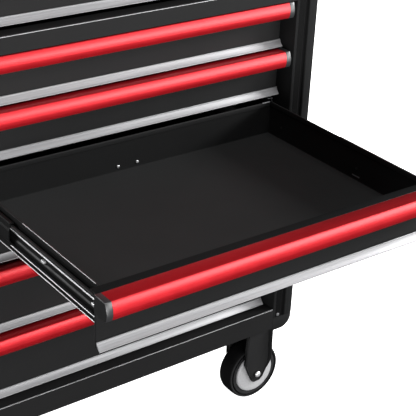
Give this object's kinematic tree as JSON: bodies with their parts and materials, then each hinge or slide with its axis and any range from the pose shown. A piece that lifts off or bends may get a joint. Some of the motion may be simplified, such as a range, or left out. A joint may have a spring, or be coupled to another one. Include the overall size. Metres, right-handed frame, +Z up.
{
  "type": "rolling tool chest",
  "caption": "Rolling steel tool chest with stacked full-extension drawers, hooded full-width grips, rounded corner guards, and rigid and braked swivel casters.",
  "frame": {"origin": "on the floor, midway between the sides, under the plane of the closed drawer fronts", "axes": "+Z up, the drawers open towards -Y, +X to the right seen from the front"},
  "size_m": [0.653, 0.7673, 0.86],
  "materials": {
    "black_paint": "fine-grained satin black powder coat",
    "red_aluminium": "red satin anodised extrusion",
    "brushed_aluminium": "brushed along its length",
    "zinc_steel": "bright zinc plate",
    "guard_plastic": "grained, matte",
    "grey_tyre": "smooth rubber tread on a light grey hub"
  },
  "bodies": {
    "cabinet": {"side_panel_left": "black_paint", "side_panel_right": "black_paint", "corner_guard_left": "guard_plastic", "corner_guard_right": "guard_plastic", "inner_wall_left": "zinc_steel", "inner_wall_right": "zinc_steel", "back_panel": "black_paint", "base_pan": "black_paint", "mid_rail": "black_paint", "top_panel": "black_paint", "rigid_fork_front": "black_paint", "rigid_fork_rear": "black_paint", "swivel_plate_front": "black_paint", "swivel_plate_rear": "black_paint"},
    "drawer_1": {"drawer_1_tray": "black_paint", "drawer_1_handle": "red_aluminium", "drawer_1_lip_trim": "brushed_aluminium"},
    "drawer_1_slides": {"drawer_1_slide_left": "zinc_steel", "drawer_1_slide_right": "zinc_steel"},
    "drawer_2": {"drawer_2_tray": "black_paint", "drawer_2_handle": "red_aluminium", "drawer_2_lip_trim": "brushed_aluminium"},
    "drawer_2_slides": {"drawer_2_slide_left": "zinc_steel", "drawer_2_slide_right": "zinc_steel"},
    "drawer_3": {"drawer_3_tray": "black_paint", "drawer_3_handle": "red_aluminium", "drawer_3_lip_trim": "brushed_aluminium"},
    "drawer_3_slides": {"drawer_3_slide_left": "zinc_steel", "drawer_3_slide_right": "zinc_steel"},
    "drawer_4": {"drawer_4_tray": "black_paint", "drawer_4_handle": "red_aluminium", "drawer_4_lip_trim": "brushed_aluminium"},
    "drawer_4_slides": {"drawer_4_slide_left": "zinc_steel", "drawer_4_slide_right": "zinc_steel"},
    "drawer_5": {"drawer_5_tray": "black_paint", "drawer_5_handle": "red_aluminium", "drawer_5_lip_trim": "brushed_aluminium"},
    "drawer_5_slides": {"drawer_5_slide_left": "zinc_steel", "drawer_5_slide_right": "zinc_steel"},
    "drawer_6": {"drawer_6_tray": "black_paint", "drawer_6_handle": "red_aluminium", "drawer_6_lip_trim": "brushed_aluminium"},
    "drawer_6_slides": {"drawer_6_slide_left": "zinc_steel", "drawer_6_slide_right": "zinc_steel"},
    "drawer_7": {"drawer_7_tray": "black_paint", "drawer_7_handle": "red_aluminium", "drawer_7_lip_trim": "brushed_aluminium"},
    "drawer_7_slides": {"drawer_7_slide_left": "zinc_steel", "drawer_7_slide_right": "zinc_steel"},
    "swivel_front": {"swivel_fork_front": "black_paint"},
    "swivel_wheel_front": {"swivel_wheel_front": "grey_tyre"},
    "rigid_wheel_front": {"rigid_wheel_front": "grey_tyre"},
    "brake_pedal_front": {"brake_pedal_front": "guard_plastic"},
    "swivel_rear": {"swivel_fork_rear": "black_paint"},
    "swivel_wheel_rear": {"swivel_wheel_rear": "grey_tyre"},
    "rigid_wheel_rear": {"rigid_wheel_rear": "grey_tyre"},
    "brake_pedal_rear": {"brake_pedal_rear": "guard_plastic"}
  },
  "joints": [
    {"name": "drawer_1_pull", "type": "slide", "parent": "cabinet", "child": "drawer_1", "axis": [0, -1, 0], "range_m": [0, 0.355]},
    {"name": "drawer_1_telescope", "type": "slide", "parent": "cabinet", "child": "drawer_1_slides", "axis": [0, -1, 0], "range_m": [0, 0.1775]},
    {"name": "drawer_2_pull", "type": "slide", "parent": "cabinet", "child": "drawer_2", "axis": [0, -1, 0], "range_m": [0, 0.355]},
    {"name": "drawer_2_telescope", "type": "slide", "parent": "cabinet", "child": "drawer_2_slides", "axis": [0, -1, 0], "range_m": [0, 0.1775]},
    {"name": "drawer_3_pull", "type": "slide", "parent": "cabinet", "child": "drawer_3", "axis": [0, -1, 0], "range_m": [0, 0.355]},
    {"name": "drawer_3_telescope", "type": "slide", "parent": "cabinet", "child": "drawer_3_slides", "axis": [0, -1, 0], "range_m": [0, 0.1775]},
    {"name": "drawer_4_pull", "type": "slide", "parent": "cabinet", "child": "drawer_4", "axis": [0, -1, 0], "range_m": [-0.355, 0]},
    {"name": "drawer_4_telescope", "type": "slide", "parent": "cabinet", "child": "drawer_4_slides", "axis": [0, -1, 0], "range_m": [-0.1775, 0]},
    {"name": "drawer_5_pull", "type": "slide", "parent": "cabinet", "child": "drawer_5", "axis": [0, -1, 0], "range_m": [0, 0.355]},
    {"name": "drawer_5_telescope", "type": "slide", "parent": "cabinet", "child": "drawer_5_slides", "axis": [0, -1, 0], "range_m": [0, 0.1775]},
    {"name": "drawer_6_pull", "type": "slide", "parent": "cabinet", "child": "drawer_6", "axis": [0, -1, 0], "range_m": [0, 0.355]},
    {"name": "drawer_6_telescope", "type": "slide", "parent": "cabinet", "child": "drawer_6_slides", "axis": [0, -1, 0], "range_m": [0, 0.1775]},
    {"name": "drawer_7_pull", "type": "slide", "parent": "cabinet", "child": "drawer_7", "axis": [0, -1, 0], "range_m": [0, 0.355]},
    {"name": "drawer_7_telescope", "type": "slide", "parent": "cabinet", "child": "drawer_7_slides", "axis": [0, -1, 0], "range_m": [0, 0.1775]},
    {"name": "swivel_front_turn", "type": "hinge", "parent": "cabinet", "child": "swivel_front", "pos_m": [-0.22, 0.003, 0.119], "axis": [0, 0, 1], "continuous": true},
    {"name": "swivel_wheel_front_roll", "type": "hinge", "parent": "swivel_front", "child": "swivel_wheel_front", "pos_m": [-0.248, 0.003, 0.051], "axis": [0, 1, 0], "continuous": true},
    {"name": "brake_pedal_front_press", "type": "hinge", "parent": "swivel_front", "child": "brake_pedal_front", "pos_m": [-0.278, 0.003, 0.101], "axis": [0, -1, 0], "range_deg": [0, 12]},
    {"name": "rigid_wheel_front_roll", "type": "hinge", "parent": "cabinet", "child": "rigid_wheel_front", "pos_m": [0.2555, 0.003, 0.051], "axis": [0, 1, 0], "continuous": true},
    {"name": "swivel_rear_turn", "type": "hinge", "parent": "cabinet", "child": "swivel_rear", "pos_m": [-0.22, 0.342, 0.119], "axis": [0, 0, 1], "continuous": true},
    {"name": "swivel_wheel_rear_roll", "type": "hinge", "parent": "swivel_rear", "child": "swivel_wheel_rear", "pos_m": [-0.248, 0.342, 0.051], "axis": [0, 1, 0], "continuous": true},
    {"name": "brake_pedal_rear_press", "type": "hinge", "parent": "swivel_rear", "child": "brake_pedal_rear", "pos_m": [-0.278, 0.342, 0.101], "axis": [0, -1, 0], "range_deg": [0, 12]},
    {"name": "rigid_wheel_rear_roll", "type": "hinge", "parent": "cabinet", "child": "rigid_wheel_rear", "pos_m": [0.2555, 0.342, 0.051], "axis": [0, 1, 0], "continuous": true}
  ],
  "couplings": [
    {"joint": "drawer_1_telescope", "follows": "drawer_1_pull", "ratio": 0.5},
    {"joint": "drawer_2_telescope", "follows": "drawer_2_pull", "ratio": 0.5},
    {"joint": "drawer_3_telescope", "follows": "drawer_3_pull", "ratio": 0.5},
    {"joint": "drawer_4_telescope", "follows": "drawer_4_pull", "ratio": 0.5},
    {"joint": "drawer_5_telescope", "follows": "drawer_5_pull", "ratio": 0.5},
    {"joint": "drawer_6_telescope", "follows": "drawer_6_pull", "ratio": 0.5},
    {"joint": "drawer_7_telescope", "follows": "drawer_7_pull", "ratio": 0.5}
  ]
}
